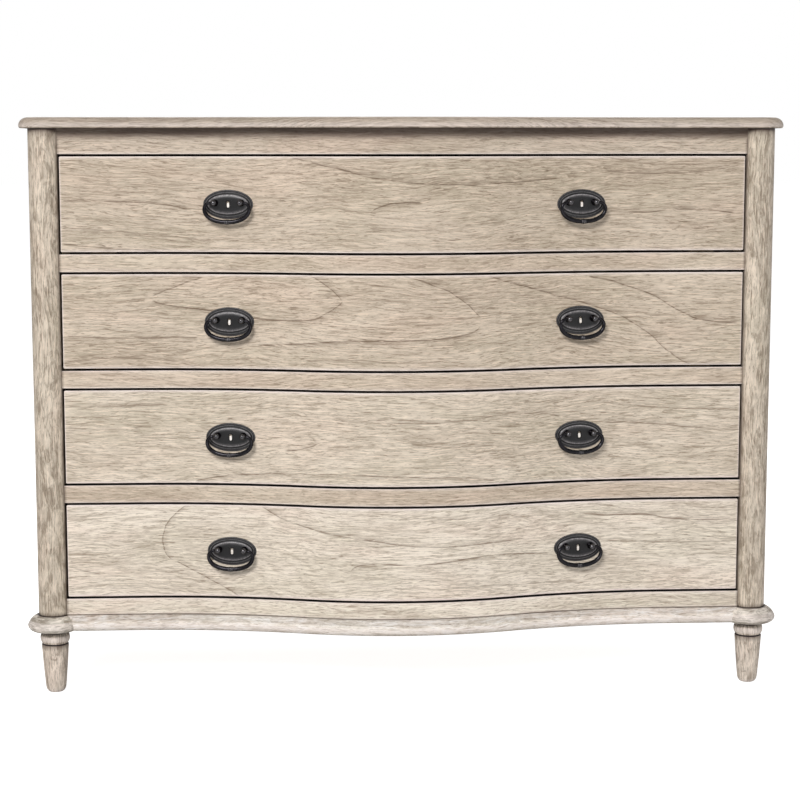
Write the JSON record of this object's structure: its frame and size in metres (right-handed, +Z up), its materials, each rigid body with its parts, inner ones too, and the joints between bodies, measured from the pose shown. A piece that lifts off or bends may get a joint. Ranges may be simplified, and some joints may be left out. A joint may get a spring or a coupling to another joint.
{
  "type": "commode chest",
  "caption": "Serpentine-front wooden commode chest with full-width dovetailed drawers, round corner posts, bullnose base with corner lobes, turned feet and bail pulls.",
  "frame": {"origin": "on the floor, under the middle of the chest's bounding box", "axes": "X to the right, Y to the back, Z up; the front faces -Y"},
  "size_m": [1.225, 0.533, 0.927],
  "materials": {
    "case": "pale washed open-grained oak, satin, with a dark glaze in the grooves",
    "drawer_front": "pale washed open-grained oak, satin, grain from side to side",
    "drawer_box": "plain lacquered hardwood",
    "drawer_bottom": "plain lacquered plywood",
    "inside": "plain sanded hardwood and plywood",
    "pulls": "dark oil-rubbed bronze, semi-gloss",
    "screws": "zinc-plated"
  },
  "bodies": {
    "carcass": {"top_board": "case", "side_panel_left": "case", "side_panel_right": "case", "back_panel": "inside", "front_post_left": "case", "front_post_right": "case", "rear_post_left": "case", "rear_post_right": "case", "top_rail": "case", "drawer_rail_upper": "case", "drawer_rail_middle": "case", "drawer_rail_lower": "case", "bottom_rail": "case", "rear_rails": "inside", "base_moulding_front": "case", "base_moulding_left": "case", "base_moulding_right": "case", "corner_lobes": "case", "front_feet": "case", "rear_feet": "case", "drawer_runners": "inside", "drawer_stops": "inside", "top_cleats": "inside", "top_screws": "screws"},
    "drawer_1": {"drawer_1_front": "drawer_front", "drawer_1_side_left": "drawer_box", "drawer_1_side_right": "drawer_box", "drawer_1_back": "drawer_box", "drawer_1_bottom": "drawer_bottom", "drawer_1_pull_plates": "pulls", "drawer_1_pull_bolts": "pulls"},
    "drawer_1_bail_left": {"drawer_1_bail_left": "pulls"},
    "drawer_1_bail_right": {"drawer_1_bail_right": "pulls"},
    "drawer_2": {"drawer_2_front": "drawer_front", "drawer_2_side_left": "drawer_box", "drawer_2_side_right": "drawer_box", "drawer_2_back": "drawer_box", "drawer_2_bottom": "drawer_bottom", "drawer_2_pull_plates": "pulls", "drawer_2_pull_bolts": "pulls"},
    "drawer_2_bail_left": {"drawer_2_bail_left": "pulls"},
    "drawer_2_bail_right": {"drawer_2_bail_right": "pulls"},
    "drawer_3": {"drawer_3_front": "drawer_front", "drawer_3_side_left": "drawer_box", "drawer_3_side_right": "drawer_box", "drawer_3_back": "drawer_box", "drawer_3_bottom": "drawer_bottom", "drawer_3_pull_plates": "pulls", "drawer_3_pull_bolts": "pulls"},
    "drawer_3_bail_left": {"drawer_3_bail_left": "pulls"},
    "drawer_3_bail_right": {"drawer_3_bail_right": "pulls"},
    "drawer_4": {"drawer_4_front": "drawer_front", "drawer_4_side_left": "drawer_box", "drawer_4_side_right": "drawer_box", "drawer_4_back": "drawer_box", "drawer_4_bottom": "drawer_bottom", "drawer_4_pull_plates": "pulls", "drawer_4_pull_bolts": "pulls"},
    "drawer_4_bail_left": {"drawer_4_bail_left": "pulls"},
    "drawer_4_bail_right": {"drawer_4_bail_right": "pulls"}
  },
  "joints": [
    {"name": "drawer_1_slide", "type": "slide", "parent": "carcass", "child": "drawer_1", "axis": [0, -1, 0], "range_m": [0, 0.3]},
    {"name": "drawer_1_bail_left_swing", "type": "hinge", "parent": "drawer_1", "child": "drawer_1_bail_left", "pos_m": [-0.28212, -0.21099, 0.79314], "axis": [-0.9873, 0.1588, 0], "range_deg": [-15, 150]},
    {"name": "drawer_1_bail_right_swing", "type": "hinge", "parent": "drawer_1", "child": "drawer_1_bail_right", "pos_m": [0.28212, -0.21099, 0.79314], "axis": [-0.9873, -0.1588, 0], "range_deg": [-15, 150]},
    {"name": "drawer_2_slide", "type": "slide", "parent": "carcass", "child": "drawer_2", "axis": [0, -1, 0], "range_m": [0, 0.3]},
    {"name": "drawer_2_bail_left_swing", "type": "hinge", "parent": "drawer_2", "child": "drawer_2_bail_left", "pos_m": [-0.28212, -0.21099, 0.60771], "axis": [-0.9873, 0.1588, 0], "range_deg": [-15, 150]},
    {"name": "drawer_2_bail_right_swing", "type": "hinge", "parent": "drawer_2", "child": "drawer_2_bail_right", "pos_m": [0.28212, -0.21099, 0.60771], "axis": [-0.9873, -0.1588, 0], "range_deg": [-15, 150]},
    {"name": "drawer_3_slide", "type": "slide", "parent": "carcass", "child": "drawer_3", "axis": [0, -1, 0], "range_m": [0, 0.3]},
    {"name": "drawer_3_bail_left_swing", "type": "hinge", "parent": "drawer_3", "child": "drawer_3_bail_left", "pos_m": [-0.28212, -0.21099, 0.42229], "axis": [-0.9873, 0.1588, 0], "range_deg": [-15, 150]},
    {"name": "drawer_3_bail_right_swing", "type": "hinge", "parent": "drawer_3", "child": "drawer_3_bail_right", "pos_m": [0.28212, -0.21099, 0.42229], "axis": [-0.9873, -0.1588, 0], "range_deg": [-15, 150]},
    {"name": "drawer_4_slide", "type": "slide", "parent": "carcass", "child": "drawer_4", "axis": [0, -1, 0], "range_m": [0, 0.3]},
    {"name": "drawer_4_bail_left_swing", "type": "hinge", "parent": "drawer_4", "child": "drawer_4_bail_left", "pos_m": [-0.28212, -0.21099, 0.23686], "axis": [-0.9873, 0.1588, 0], "range_deg": [-15, 150]},
    {"name": "drawer_4_bail_right_swing", "type": "hinge", "parent": "drawer_4", "child": "drawer_4_bail_right", "pos_m": [0.28212, -0.21099, 0.23686], "axis": [-0.9873, -0.1588, 0], "range_deg": [-15, 150]}
  ]
}
